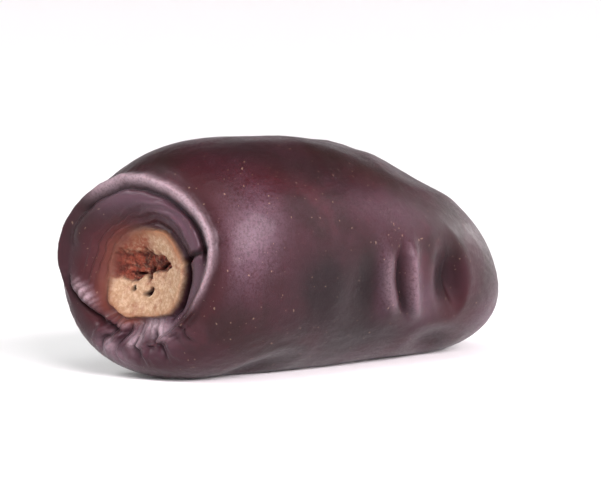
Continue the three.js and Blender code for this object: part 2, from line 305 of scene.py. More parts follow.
# %% Torn hollow, slits and holes
TORN_MARKS = (  # right and up from the scar's middle, half width, half height, turn, strength
    (-0.5, 1.15, 2.4, 0.95, 4, 1.0),
    (-3.1, 0.9, 1.9, 1.1, 8, 1.0),
    (-2.2, 0.0, 0.75, 0.5, 0, 0.8),
    (-0.6, 0.2, 0.32, 0.7, 0, 0.8),
    (1.2, 1.2, 0.9, 0.55, 30, 0.8),
)
SLIT_MARKS = (
    (0.9, 0.95, 0.95, 0.28, 33, 1.0),
    (-1.9, 0.15, 0.8, 0.2, -5, 0.8),
    (-0.65, 0.4, 0.5, 0.22, 60, 0.8),
)
HOLE_MARKS = (
    (-1.95, -1.0, 0.32, 0.28, 0, 1.0),
    (-0.5, -1.4, 0.5, 0.32, 15, 1.0),
    (-0.15, -1.0, 0.22, 0.26, 0, 0.7),
)
TORN_DEPTH, SLIT_DEPTH, HOLE_DEPTH = 0.4, 0.7, 0.6
TORN_FRAY, SLIT_FRAY, HOLE_FRAY = 1.0, 0.6, 0.5
TORN_CUT, SLIT_CUT, HOLE_CUT = (0.3, 0.75), (0.35, 0.8), (0.35, 0.8)
RAGGED = ((0.3, 0.7), (0.22, 0.32))  # height and blob size of each layer of noise
CORK = ((0.1, 0.9), (0.06, 0.4), (0.04, 0.2))
CORK_SHARE, CORK_SHARE_TORN = 0.6, 0.7
FIBRE_HEIGHT, FIBRE_SIZE, FIBRES_ROUND, FIBRES_OUT = 0.12, 0.5, 4.5, 2


def mark(right, up, wide, high, turn):
    """A leaning oval bell on the stem end, placed from the middle of the scar."""
    swing = math.radians(turn)
    dx = scar_right - right
    dy = scar_up - up
    return bell(np.hypot((dx * math.cos(swing) + dy * math.sin(swing)) / wide,
                         (dy * math.cos(swing) - dx * math.sin(swing)) / high), 1)


def marks(table):
    return sum(strength * mark(*place) for *place, strength in table)


ragged = layered_noise(RAGGED, seed=15)
torn = scar * step(marks(TORN_MARKS) + TORN_FRAY * ragged, *TORN_CUT)
slits = scar * step(marks(SLIT_MARKS) + SLIT_FRAY * ragged, *SLIT_CUT)
holes = scar * step(marks(HOLE_MARKS) + HOLE_FRAY * ragged, *HOLE_CUT)
fibre_places = np.column_stack([scar_angle * FIBRES_ROUND, scar_distance * FIBRES_OUT, 0 * scar_angle])
fibres = FIBRE_HEIGHT * noise_over(fibre_places, FIBRE_SIZE, seed=17)
cork = layered_noise(CORK, seed=6)
tearing = scar * (torn * fibres + cork * (CORK_SHARE + CORK_SHARE_TORN * torn))
scar_hollows = TORN_DEPTH * torn + SLIT_DEPTH * slits + HOLE_DEPTH * holes
print("torn:", int((torn > 0.5).sum()), "vertices, holes:", int((holes > 0.5).sum()))

# %% [markdown]
# Three marks lie in the skin beside the plate. The crease ends in a nick at the right, where the skin tore
# away from the scar. A glossy fold with fine stripes crosses the left. Single lumps stand among the puckers,
# because evenly spread folds look like a machine's work.

# %% Nick, striped fold and lumps
NICK_MARK, NICK_DEPTH = (5.1, 1.95, 1.5, 0.24, 24), 0.7
FOLD_MARK, FOLD_HEIGHT = (-5.9, -1.7, 1.5, 0.6, -42), 0.4
STRIPE_HEIGHT, STRIPE_SPACING, STRIPE_SWAY, STRIPE_SWAY_SIZE = 0.07, 0.75, 3, 1.2
LUMP_HEIGHT = 0.42
LUMP_MARKS = (
    (1.2, -4.2, 1.4, 0.75, -12, 1.0),
    (-0.6, -5.7, 0.6, 0.8, 0, 0.8),
    (-1.9, -4.0, 0.6, 0.35, 0, 0.6),
    (-3.1, -6.3, 0.55, 1.0, 25, 0.5),
)

nick = on_stem_end * mark(*NICK_MARK)
lumps = on_stem_end * marks(LUMP_MARKS)
glossy_fold = on_stem_end * mark(*FOLD_MARK)
stripes = np.cos(2 * math.pi * (scar_right - scar_up) / STRIPE_SPACING
                 + STRIPE_SWAY * noise_over(barrel, STRIPE_SWAY_SIZE, seed=19))
skin_marks = (glossy_fold * (FOLD_HEIGHT + STRIPE_HEIGHT * stripes) + LUMP_HEIGHT * lumps
              - NICK_DEPTH * nick)
scar_relief = SCAR_RISE * plate - GAP_DEPTH * gap - scar_hollows + skin_marks + tearing
print("scar relief, mm:", round(scar_relief.min(), 2), "to", round(scar_relief.max(), 2))

# %% [markdown]
# ## Hollows and pleats
# The flesh shrank more than the skin did. Where the skin sank with it there are broad hollows with soft
# lips, and where it was too loose it stands up in pleats. Two upright pleats with a furrow between them, and
# the deep oval hollow at the tip's side, are the ones that show in front. Each is placed by its distance
# from the stem end and its angle round the fruit, as on a map rolled round a tube. A pleat of negative
# height is a furrow.

# %% Places of the hollows and pleats
HOLLOW_EDGE, LIP_WIDTH, PLEAT_TAPER = 1.15, 0.22, 0.3
HOLLOWS = (  # from the stem end, angle, half length, half width, turn, depth, where the wall starts, lip
    (27.8, -7, 2.6, 4.3, 16, 1.0, 0.0, 0.05),
    (29.1, -8, 1.2, 3.8, 16, 0.55, 0.2, 0.0),
    (18.6, -14, 4.8, 4.4, 10, 0.62, 0.0, 0.06),
    (13.4, 47, 7.5, 3.4, -12, 0.42, 0.0, 0.05),
    (28.5, 62, 5.5, 3.0, 20, 0.42, 0.0, 0.08),
    (22.0, 112, 6.5, 3.4, -14, 0.55, 0.1, 0.1),
    (15.0, 196, 5.4, 4.4, 32, 1.35, 0.2, 0.14),
    (29.0, 158, 4.2, 3.0, -35, 0.8, 0.1, 0.1),
    (7.8, 148, 3.6, 2.8, 60, 0.5, 0.0, 0.06),
    (26.0, 228, 7.0, 2.6, 8, 0.75, 0.1, 0.1),
    (9.5, 296, 4.0, 2.8, 20, 0.4, 0.0, 0.05),
    (30.0, 308, 4.0, 2.6, -15, 0.55, 0.0, 0.08),
)
PLEATS = (  # from the stem end, angle, turn, half length, width, bow, height
    (20.2, -14, 112, 4.6, 0.8, -0.045, 0.52),
    (22.9, -14, 112, 5.2, 0.7, -0.055, 0.6),
    (21.7, -14, 112, 4.8, 0.36, -0.05, -0.5),
    (25.5, 92, 4, 6.5, 0.6, 0.012, 0.3),
    (14.6, 188, 62, 5.0, 0.6, 0.03, 0.42),
    (17.6, 203, 118, 3.6, 0.55, -0.04, 0.3),
    (26.4, 164, 38, 5.2, 0.55, 0.04, 0.34),
    (30.4, 172, 52, 4.2, 0.6, 0.03, 0.32),
    (24.0, 217, 6, 8.5, 0.65, -0.012, 0.38),
    (25.0, 241, 12, 6.5, 0.6, 0.01, 0.3),
)
print("hollows:", len(HOLLOWS), "pleats:", len(PLEATS))

# %% [markdown]
# Two more things are kept while the heights are added up, because the colours will need them: how sunken
# each vertex is, and how much of a crest it is. The colours darken sunken skin as painted shade and lighten
# crests as painted highlight. The tip has only a shallow dimple with a small bead in it, where the flower once
# was.

# %% Push the hollows and pleats
TIP_DIMPLE_DEPTH, TIP_DIMPLE_RADIUS = 0.35, 1.5
TIP_BEAD_HEIGHT, TIP_BEAD_RADIUS = 0.3, 0.55


def on_feature(x, at, turn):
    """Distances along and across a feature that lies on the skin."""
    forward = along - x
    round_it = wrapped(angle - math.radians(at)) * radius
    swing = math.radians(turn)
    return (forward * math.cos(swing) + round_it * math.sin(swing),
            round_it * math.cos(swing) - forward * math.sin(swing))


body_relief = np.zeros(len(barrel))
sunken = np.zeros(len(barrel))
crests = np.zeros(len(barrel))
for x, at, long, wide, turn, depth, wall, lip in HOLLOWS:
    lengthwise, across = on_feature(x, at, turn)
    distance = np.hypot(lengthwise / long, across / wide)
    floor_share = 1 - step(distance, wall, HOLLOW_EDGE)
    body_relief += lip * bell(distance - HOLLOW_EDGE, LIP_WIDTH) - depth * floor_share
    sunken = np.maximum(sunken, depth * floor_share)
for x, at, turn, reach, width, bow, height in PLEATS:
    lengthwise, across = on_feature(x, at, turn)
    taper = 1 - step(np.abs(lengthwise) / reach, PLEAT_TAPER, 1)
    fold = taper * bell(across - bow * lengthwise ** 2, width)
    body_relief += height * fold
    if height > 0:
        crests = np.maximum(crests, fold ** 2)
    else:
        sunken = np.maximum(sunken, fold)
tip_relief = ~on_stem_end * (TIP_BEAD_HEIGHT * bell(radius, TIP_BEAD_RADIUS)
                             - TIP_DIMPLE_DEPTH * bell(radius, TIP_DIMPLE_RADIUS))
print("body relief, mm:", round(body_relief.min(), 2), "to", round(body_relief.max(), 2))

# %% [markdown]
# ## Fine skin
# A step closer, the skin is not smooth. It has slow swells, a leathery network of shallow wrinkles that run
# mostly along the fruit, thin rings of folds above the scar, and small cross-folds on the collar. Most are
# only hundredths of a millimetre high, but the light on a glossy skin shows them all. Real height is used,
# and not only bump, because the outline and the moving highlights then agree with them.

# %% Swells, wrinkles and fine folds
BODY_START, BODY_FULL = 0.4, 3
SWELLS = ((0.04, 5.5), (0.008, 2.2))
WRINKLE, WRINKLE_STRETCH, WRINKLE_SIZE, WRINKLE_VALLEY = 0.022, 2.6, 0.8, 2.2
PEBBLE, PEBBLE_SIZE = 0.4 * WRINKLE, 0.45
RING_FOLD, RING_FOLD_SPACING, RING_FOLD_ARC = 0.11, 0.62, (30, 185, 40)
RING_FOLD_START, RING_FOLD_END = (1.0, 1.08), (1.35, 1.7)
RING_FOLD_SWAY, RING_FOLD_SWAY_SIZE = 2.5, 1.5
COLLAR_FOLD, COLLAR_FOLDS_ROUND, COLLAR_FOLD_STRETCH = 0.035, 46 / 6, 0.8

on_body = step(along, BODY_START, BODY_FULL)
swells = layered_noise(SWELLS, seed=9)
stretched = barrel / np.array([WRINKLE_STRETCH, 1, 1])
wrinkles = (WRINKLE * (1 - WRINKLE_VALLEY * np.abs(noise_over(stretched, WRINKLE_SIZE, seed=11)))
            + PEBBLE * noise_over(barrel, PEBBLE_SIZE, seed=12))
ring_window = (on_stem_end * arc(scar_angle, *RING_FOLD_ARC) * step(scar_distance, *RING_FOLD_START)
               * (1 - step(scar_distance, *RING_FOLD_END)))
ring_turn = 2 * math.pi * scar_distance * SCAR_RADIUS / RING_FOLD_SPACING
ring_sway = RING_FOLD_SWAY * noise_over(barrel, RING_FOLD_SWAY_SIZE, seed=13)
ring_folds = RING_FOLD * ring_window * np.cos(ring_turn + ring_sway)
fold_places = np.column_stack([around * COLLAR_FOLDS_ROUND, from_crest * COLLAR_FOLD_STRETCH, 0 * around])
collar_folds = COLLAR_FOLD * collar * noise_over(fold_places, 1, seed=14)
fine_relief = (1 - scar) * (swells * on_body + wrinkles) + ring_folds + collar_folds
print("fine relief, mm:", round(fine_relief.min(), 3), "to", round(fine_relief.max(), 3))

# %% [markdown]
# ## Bend it and lay it down
# The pushed barrel is still straight. Soft waves round the section make flats and shoulders, the ends droop,
# the top falls towards the tip, and the whole fruit bows a little sideways. Last, the lowest skin is pressed
# flat where the fruit lies. The same steps are run on the barrel without its fine skin, to find the flat
# spot and the middle that the solid has, so that the two sit in exactly one place.

# %% Shape, press flat and centre
STEM_DROOP, TIP_DROOP, TOP_FALL, TOP_FALL_POWER = 1.5, 2.8, 4.2, 1.2
SIDE_BOW, END_SKEW, END_SKEW_FADE = 0.9, 0.2, 6
FLAT_SINK, FLAT_BLEND = 0.5, 0.3
SECTION_WAVES = ((2, 0.012, 30, 1.2), (3, 0.017, 75, -2.2), (5, 0.008, 10, 3.1))  # waves, size, phase, drift
SECTION_START, SECTION_FULL = 3, 8


def shaped(heights):
    """The barrel with its skin at those heights, bent as the fruit is."""
    x, y, z = (barrel + normals * heights[:, None]).T
    section = 1 + step(radius, SECTION_START, SECTION_FULL) * sum(
        size * np.cos(waves * (angle - np.radians(phase + drift * along)))
        for waves, size, phase, drift in SECTION_WAVES)
    y = y * section * WIDTH / HEIGHT
    z = z * section
    to_stem = np.maximum(0, STEM_LENGTH - along) / STEM_LENGTH
    to_tip = np.maximum(0, along - STEM_LENGTH) / TIP_LENGTH
    top_share = 0.5 + 0.5 * z / RADIUS
    z = z - (STEM_DROOP * to_stem ** 3 + TIP_DROOP * to_tip ** 3
             + TOP_FALL * top_share * to_tip ** TOP_FALL_POWER)
    x = x - END_SKEW * y * np.exp(-along / END_SKEW_FADE)
    y = y + SIDE_BOW * ((along - LENGTH / 2) / (LENGTH / 2)) ** 2
    return np.column_stack([x, y, z])


def pressed(z, lowest):
    """Heights above a flat that is sunk into the lowest skin, with a rounded edge where the two meet."""
    clear = z - lowest - FLAT_SINK
    return np.maximum(clear, 0) + np.maximum(FLAT_BLEND - np.abs(clear), 0) ** 2 / (4 * FLAT_BLEND)


main_relief = stem_relief + scar_relief + tip_relief + on_body * body_relief
plain = shaped(main_relief - tearing)
places = shaped(main_relief + fine_relief)
places[:, 2] = pressed(places[:, 2], plain[:, 2].min())
places[:, :2] -= ((plain.min(0) + plain.max(0)) / 2)[:2]
fruit_mesh.vertices.foreach_set("co", (places * MM).astype(np.float32).ravel())
fruit_mesh.update()
fruit_mesh.shade_smooth()
fruit = bpy.data.objects.new("date_fruit", fruit_mesh)
bpy.context.scene.collection.objects.link(fruit)
print("fruit, mm:", (places.max(0) - places.min(0)).round(2).tolist())

# %% [markdown]
# ## Masks for the stem end
# The materials need to know what is scar, what is torn and what is fold. We know that already from the
# shaping, so it is written on the mesh as attributes, one number for each vertex. An attribute follows the
# surface wherever it goes, where a picture would have to be unwrapped and painted. A few more rings are
# added here that have no height of their own: stains, wax, painted highlights and sheen on the collar, the
# lumps, the striped fold and the lower shoulder, and painted shade in the creases, gap, nick and valleys.

# %% Write the masks of the stem end
STAIN_MARK, STAIN_FRAY, STAIN_CUT = (-2.0, 2.3, 2.9, 1.5, 28), 0.4, (0.1, 0.8)
SOFT_EDGE, SOFT_ARC = 0.22, (92, 205, 50)
BAND_DISTANCE, BAND_ARC = 1.08, (112, 262, 40)
BAND_WIDTH, BAND_EXTRA, BAND_WIDE_ARC = 0.14, 0.12, (100, 185, 50)
RIM_DISTANCE, RIM_WIDTH, RIM_ARC = 0.97, 0.11, (22, 120, 30)
LOWER_RIM_SHARE, LOWER_RIM_ARC = 0.6, (190, 330, 40)
HALO_RING = (1.1, 0.3, (70, 240, 60))  # distance as a share of the scar's radius, width, arc
RED_CUP_ARC, RED_CUP_START, RED_CUP_FULL = (130, 235, 50), 0.1, 0.4
BESIDE_RING, BESIDE_SHARE = (-1.1, 0.7, (-50, 60, 40)), 0.8  # inset from the crest, width, arc
STRIP_RING, STRIP_SHARE = (1.0, 0.6, (-62, 4, 16)), 0.9
COLLAR_HIGHLIGHT_INSET, COLLAR_HIGHLIGHT_WIDTH, COLLAR_HIGHLIGHT_ARC = 0.05, 1.05, (-20, 122, 34)
LOBE_WAX_AND_SHEEN_ARC, PUCKER_WAX_AND_SHEEN = (-10, 118, 60), 0.3
SHOULDER_SHEEN_MARK, SHOULDER_HIGHLIGHT = (-3.2, -7.0, 2.2, 0.9, -28), 0.3
LUMP_HIGHLIGHT, LUMP_HIGHLIGHT_CREST, LUMP_CREST = 0.6, 0.75, (-0.6, 0.5)
FOLD_SHINE, FOLD_SHINE_POWER, FOLD_SHINE_MEAN = 1.25, 1.4, 0.62
GAP_SHADE, VALLEY_SHADE, VALLEY = 1.2, 0.8, (-0.8, -0.1)
CREST_PALE_HIGHLIGHT = 0.3


def write_mask(name, values):
    layer = fruit_mesh.attributes.new(name, "FLOAT", "POINT")
    layer.data.foreach_set("value", np.clip(values, 0, 1).astype(np.float32))


def scar_ring(distance, width, window):
    return on_stem_end * bell(scar_distance - distance, width) * arc(scar_angle, *window)


soft_edge = SCAR_EDGE + SOFT_EDGE * arc(scar_angle, *SOFT_ARC)
write_mask("scar", on_stem_end * (1 - step(scar_distance, 1 - soft_edge, 1 + soft_edge)))
write_mask("torn", torn)
write_mask("stain", scar * step(mark(*STAIN_MARK) + STAIN_FRAY * ragged, *STAIN_CUT))
write_mask("holes", np.maximum(slits, holes))

band_width = BAND_WIDTH + BAND_EXTRA * arc(scar_angle, *BAND_WIDE_ARC)
write_mask("band", scar_ring(BAND_DISTANCE, band_width, BAND_ARC))
rim_share = np.maximum(arc(scar_angle, *RIM_ARC), LOWER_RIM_SHARE * arc(scar_angle, *LOWER_RIM_ARC))
write_mask("rim", on_stem_end * bell(scar_distance - RIM_DISTANCE, RIM_WIDTH) * rim_share)

# painted highlights: pale marks on the collar's crest, the lumps' crests, the striped fold, the lower shoulder
# and the pleat crests
collar_highlight = collar_ring(COLLAR_HIGHLIGHT_INSET, COLLAR_HIGHLIGHT_WIDTH * collar_width, COLLAR_HIGHLIGHT_ARC)
lump_highlight = lumps * (LUMP_HIGHLIGHT + LUMP_HIGHLIGHT_CREST * step(pucker_folds, *LUMP_CREST))
fold_highlight = (FOLD_SHINE * glossy_fold ** FOLD_SHINE_POWER
            * (FOLD_SHINE_MEAN + (1 - FOLD_SHINE_MEAN) * stripes))
shoulder_sheen = on_stem_end * mark(*SHOULDER_SHEEN_MARK)
pale_highlight = [collar_highlight, lump_highlight, fold_highlight, SHOULDER_HIGHLIGHT * shoulder_sheen, CREST_PALE_HIGHLIGHT * on_body * crests]
write_mask("pale_highlight", np.max(pale_highlight, axis=0))
valleys = puckers * (1 - step(pucker_folds, *VALLEY))
# painted shade in the creases, the gap round the scar, the nick and the pucker valleys
write_mask("fold", crease + lower_crease + GAP_SHADE * gap + nick + VALLEY_SHADE * valleys)
# wax with painted sheen: mauve laid on the lobe, the strip right of the scar, the puckers and the lower
# shoulder
write_mask("wax_and_sheen", lobe * arc(around, *LOBE_WAX_AND_SHEEN_ARC) * (1 - nick) + STRIP_SHARE * collar_ring(*STRIP_RING)
           + PUCKER_WAX_AND_SHEEN * puckers + shoulder_sheen)
print("masks:", [layer.name for layer in fruit_mesh.attributes if layer.data_type == "FLOAT"])

# %% [markdown]
# ## Masks for the body
# On the body, soft ovals hold painted highlights and sheen where the lamps' light catches the shoulder, the
# flanks, the pleat crests and the tip, red where the flesh shines through thin skin, and painted shade on some
# spots, as the sunken skin gets too. Each is a set of soft ovals, placed as the hollows are.

# %% Write the masks of the body
BODY_CREST_HIGHLIGHT = 0.8
# painted highlights: pale lavender laid where reflections of the lamps fall on the skin
PAINTED_HIGHLIGHTS = (  # from the stem end, angle, half length, half width, turn, strength
    (4.2, 17, 2.7, 3.9, -20, 0.9),
    (25.3, -24, 1.6, 2.8, 16, 0.8),
    (19.7, -14, 0.9, 3.4, 16, 1.0),
    (23.2, -14, 0.9, 3.4, 16, 0.8),
    (20.5, 24, 6.5, 1.8, -6, 0.4),
    (36.5, -28, 2.4, 3.0, 40, 1.0),
)
# painted shade on dark spots of the body
SHADES = (
    (12.0, -9, 3.4, 2.6, 0, 1.0),
    (13.5, -30, 5.5, 3.2, 0, 0.8),
    (9.0, 66, 4.0, 2.4, 0, 0.5),
    (17.4, -12, 1.2, 3.2, 16, 0.7),
    (21.0, -44, 5.0, 2.4, 0, 0.8),
)
REDS = (
    (8.0, 43, 3.6, 1.7, 0, 0.9),
    (29.6, -24, 2.4, 1.8, 0, 0.7),
    (19.5, 42, 2.2, 1.2, 0, 0.5),
)


def oval(x, at, long, wide, turn):
    lengthwise, across = on_feature(x, at, turn)
    return bell(np.hypot(lengthwise / long, across / wide), 1)


def ovals(table):
    return on_body * np.clip(sum(strength * oval(*place) for *place, strength in table), 0, 1)


red_cup = on_stem_end * step(cup, RED_CUP_START, RED_CUP_FULL) * arc(scar_angle, *RED_CUP_ARC)
write_mask("red", scar_ring(*HALO_RING) + red_cup + BESIDE_SHARE * collar_ring(*BESIDE_RING) + ovals(REDS))
# painted highlight on the pleat crests and in the ovals above
write_mask("painted_highlight", np.maximum(BODY_CREST_HIGHLIGHT * on_body * crests, ovals(PAINTED_HIGHLIGHTS)))
write_mask("shade", ovals(SHADES))
# sunken skin, darkened in the colours as painted shade
write_mask("sunken", on_body * sunken)
print("bloom:", int((ovals(PAINTED_HIGHLIGHTS) > 0.5).sum()), "vertices")

# %% [markdown]
# ## A small node kit
# Materials are built from nodes. A few helpers keep the node code short: one adds a node and plugs its
# inputs, one reads a mask, one lays a tint over a colour, and one maps a range. All patterns read Object
# coordinates, scaled to millimetres, so that the size of each grain can be given as it is on the real skin.

# %% Node helpers
class Nodes:
    """Adds linked nodes to one material."""

    def __init__(self, name):
        self.material = bpy.data.materials.new(name)
        self.material.use_nodes = True
        self.tree = self.material.node_tree
        self.shader = self.tree.nodes["Principled BSDF"]
        scale = self.add("ShaderNodeMapping", {"Vector": self.add("ShaderNodeTexCoord").outputs["Object"],
                                               "Scale": (1 / MM, 1 / MM, 1 / MM)})
        self.place = scale.outputs[0]

    def plug(self, socket, value):
        if isinstance(value, bpy.types.NodeSocket):
            self.tree.links.new(value, socket)
        else:
            socket.default_value = value

    def add(self, kind, inputs=(), **settings):
        node = self.tree.nodes.new(kind)
        for name, value in settings.items():
            setattr(node, name, value)
        for name, value in dict(inputs).items():
            self.plug(node.inputs[name], value)
        return node

    def mask(self, name):
        return self.add("ShaderNodeAttribute", attribute_name=name).outputs["Fac"]

    def noise(self, size, detail, rough=0.5):
        """Noise from 0 to 1 with blobs of about that size in millimetres."""
        return self.add("ShaderNodeTexNoise", {"Vector": self.place, "Scale": 1 / size, "Detail": detail,
                                               "Roughness": rough}).outputs["Fac"]

    def ramp(self, value, low, high, new_low=0.0, new_high=1.0):
        """Map low to high onto a new range, with soft ends."""
        return self.add("ShaderNodeMapRange", {"Value": value, "From Min": low, "From Max": high,
                                               "To Min": new_low, "To Max": new_high},
                        interpolation_type="SMOOTHSTEP").outputs[0]

    def math(self, operation, first, second):
        node = self.add("ShaderNodeMath", operation=operation)
        self.plug(node.inputs[0], first)
        self.plug(node.inputs[1], second)
        return node.outputs[0]

    def times(self, first, second):
        return self.math("MULTIPLY", first, second)

    def lay(self, under, tint, share):
        """Lay a tint over a colour. The share runs from 0, where none of it shows, to 1."""
        node = self.add("ShaderNodeMix", data_type="RGBA")
        self.plug(node.inputs[0], share)
        for socket, value in ((node.inputs[6], under), (node.inputs[7], tint)):
            self.plug(socket, (*value, 1) if isinstance(value, tuple) else value)
        return node.outputs[2]


# %% [markdown]
# ## The skin
# The skin is almost black in the shade and wine red where it is thin. A mauve veil of natural wax lies on it in
# random patches. Over it go painted highlights and sheen, mauve and pale, on the collar, the folds, the
# lumps, the crests of the pleats and a few spots of the body, and painted shade in the hollows, creases and
# some dark spots. Pale specks the size of sand grains are dotted over it. The base colour drifts between a
# few dark reds, and each further layer is laid over the last by its mask, from the broadest to the smallest.
# Grain breaks the wax and the painted highlights up, as on a grape.

# %% Skin colours
SKIN_DARK, SKIN_RED, SKIN_WINE = (0.0105, 0.0026, 0.0020), (0.029, 0.0028, 0.0038), (0.019, 0.0036, 0.0055)
THIN_RED, DEEP_SHADE = (0.024, 0.0026, 0.0034), (0.003, 0.0012, 0.001)
MAUVE_WAX_AND_SHEEN, PALE_HIGHLIGHT_TINT = (0.068, 0.034, 0.048), (0.29, 0.215, 0.24)
SPECK, SPECK_SIZE = (0.20, 0.13, 0.09), 0.26
BAND_BROWN = (0.075, 0.017, 0.010)
DRIFT_SIZE, PATCH_SIZE, VEIL_SIZE, GRAIN_SIZE = 7.0, 4.5, 4.5, 0.22
RED_PATCHES, VEIL, SHADE_SHARE, SPECKS = 0.8, 0.12, 0.9, 0.5  # how much of each layer shows at most
WAX_AND_SHEEN, PALE_HIGHLIGHT_SHARE, FOLD_SHADE, BAND_ON_SKIN = 0.7, 0.75, 0.75, 0.9

skin = Nodes("date_skin")
grain = skin.noise(GRAIN_SIZE, 3.0, 0.65)
drift = skin.ramp(skin.noise(DRIFT_SIZE, 3.0, 0.55), 0.42, 0.62)
patches = skin.ramp(skin.noise(PATCH_SIZE, 3.0, 0.55), 0.54, 0.72)
veil = skin.ramp(skin.noise(VEIL_SIZE, 5.0, 0.62), 0.42, 0.66)
veil = skin.times(veil, skin.ramp(grain, 0.3, 0.62, 0.35, 1.0))
specks = skin.ramp(skin.noise(SPECK_SIZE, 0.0), 0.79, 0.85, 0.0, SPECKS)
# grain that breaks up the painted highlight
highlight_grain = skin.ramp(grain, 0.34, 0.6, 0.3, 1.0)
pale_highlight_grain = skin.ramp(grain, 0.3, 0.6, 0.55, 1.0)

colour = skin.lay(SKIN_DARK, SKIN_WINE, drift)
colour = skin.lay(colour, SKIN_RED, skin.times(patches, RED_PATCHES))
colour = skin.lay(colour, THIN_RED, skin.mask("red"))
colour = skin.lay(colour, MAUVE_WAX_AND_SHEEN, skin.times(veil, VEIL))
# painted highlight laid over the body's ovals and pleat crests
colour = skin.lay(colour, MAUVE_WAX_AND_SHEEN, skin.times(skin.mask("painted_highlight"), highlight_grain))
# painted shade on dark spots and in the hollows and furrows
colour = skin.lay(colour, DEEP_SHADE, skin.times(skin.mask("shade"), SHADE_SHARE))
colour = skin.lay(colour, DEEP_SHADE, skin.times(skin.mask("sunken"), SHADE_SHARE))
colour = skin.lay(colour, SPECK, specks)
# wax with painted sheen on the stem end
colour = skin.lay(colour, MAUVE_WAX_AND_SHEEN, skin.times(skin.mask("wax_and_sheen"), WAX_AND_SHEEN))
# painted highlight, pale and grainy
colour = skin.lay(colour, PALE_HIGHLIGHT_TINT, skin.times(skin.times(skin.mask("pale_highlight"), pale_highlight_grain), PALE_HIGHLIGHT_SHARE))
# painted shade in creases and valleys
colour = skin.lay(colour, DEEP_SHADE, skin.times(skin.mask("fold"), FOLD_SHADE))
colour = skin.lay(colour, BAND_BROWN, skin.times(skin.mask("band"), BAND_ON_SKIN))
print("skin layers:", sum(node.type == "MIX" for node in skin.tree.nodes))

# %% [markdown]
# ## The cork of the scar
# The plate is biscuit-coloured cork with brown mottling. It is stained red-brown at its upper left, tan along
# its rim and brown where it is torn, and its holes and slits are painted nearly black as painted shade. A
# brown band of thin skin borders its left, and runs over both skin and cork so that the edge between them is
# lost there.

# %% Cork colours
CORK_TAN, CORK_PALE, CORK_BROWN = (0.25, 0.155, 0.09), (0.34, 0.24, 0.16), (0.14, 0.030, 0.016)
CORK_DARK, STAIN, RIM_TAN = (0.035, 0.007, 0.004), (0.15, 0.045, 0.024), (0.18, 0.075, 0.036)
HOLE_SHADE = (0.010, 0.002, 0.001)
CORK_GRAIN_SIZE, MOTTLE_SIZE, MOTTLE, TEAR_SIZE = 0.35, 1.1, 0.45, 0.6
BAND_ON_CORK, RIM = 0.8, 0.8

cork_grain = skin.noise(CORK_GRAIN_SIZE, 5.0, 0.7)
pale_grains = skin.ramp(cork_grain, 0.4, 0.62)
mottle = skin.ramp(skin.noise(MOTTLE_SIZE, 4.0, 0.65), 0.52, 0.68, 0.0, MOTTLE)
stain = skin.times(skin.mask("stain"), skin.ramp(cork_grain, 0.4, 0.62, 1.0, 0.55))
torn_tone = skin.lay(CORK_DARK, CORK_BROWN, skin.ramp(skin.noise(TEAR_SIZE, 4.0, 0.65), 0.42, 0.58))
torn_share = skin.times(skin.mask("torn"), skin.ramp(cork_grain, 0.45, 0.68, 1.0, 0.75))

cork_tone = skin.lay(CORK_TAN, CORK_PALE, pale_grains)
cork_tone = skin.lay(cork_tone, CORK_BROWN, mottle)
cork_tone = skin.lay(cork_tone, STAIN, stain)
cork_tone = skin.lay(cork_tone, torn_tone, torn_share)
# painted shade: holes and slits nearly black
cork_tone = skin.lay(cork_tone, HOLE_SHADE, skin.mask("holes"))
cork_tone = skin.lay(cork_tone, BAND_BROWN, skin.times(skin.mask("band"), BAND_ON_CORK))
cork_tone = skin.lay(cork_tone, RIM_TAN, skin.times(skin.mask("rim"), RIM))
scar_mask = skin.mask("scar")
colour = skin.lay(colour, cork_tone, scar_mask)
skin.plug(skin.shader.inputs["Base Color"], colour)
print("skin and cork layers:", sum(node.type == "MIX" for node in skin.tree.nodes))

# %% [markdown]
# ## Gloss and bump
# The wax makes the skin less glossy, hollows are duller still, and cork is quite dull. A thin clear coat
# gives the shoulder its highlight, and is left off where the skin is folded or sunken. Light enters a date a
# little way, so there is some subsurface scattering, deeper in red. The bump holds only what is too fine for
# the mesh.

# %% Gloss, bump and the finished material
GLOSS_LOW, GLOSS_HIGH, VEIL_DULL, SUNKEN_DULL, CORK_DULL = 0.30, 0.42, 0.12, 0.15, 0.8
BUMP_STRENGTH, BUMP_HEIGHT, PORE_SIZE, GRAIN_BUMP, CORK_BUMP = 0.6, 0.045 * MM, 0.09, 0.6, 4.0
COAT, COAT_FADE = 0.12, 0.8
SHADER_VALUES = {
    "Coat Roughness": 0.28,
    "IOR": 1.45,
    "Specular IOR Level": 0.2,
    "Specular Tint": (1.0, 0.78, 0.92, 1),
    "Subsurface Weight": 0.1,
    "Subsurface Radius": (1.0, 0.25, 0.18),
    "Subsurface Scale": 1.2 * MM,
    "Sheen Weight": 0.02,
    "Sheen Roughness": 0.45,
    "Sheen Tint": (0.9, 0.75, 0.88, 1),
}

sunken_mask = skin.mask("sunken")
skin_gloss = skin.math("ADD", skin.ramp(grain, 0.3, 0.7, GLOSS_LOW, GLOSS_HIGH), skin.times(veil, VEIL_DULL))
skin_gloss = skin.math("ADD", skin_gloss, skin.times(sunken_mask, SUNKEN_DULL))
gloss = skin.add("ShaderNodeMix", data_type="FLOAT")
skin.plug(gloss.inputs[0], scar_mask)
skin.plug(gloss.inputs[2], skin_gloss)
skin.plug(gloss.inputs[3], CORK_DULL)
skin.plug(skin.shader.inputs["Roughness"], gloss.outputs[0])

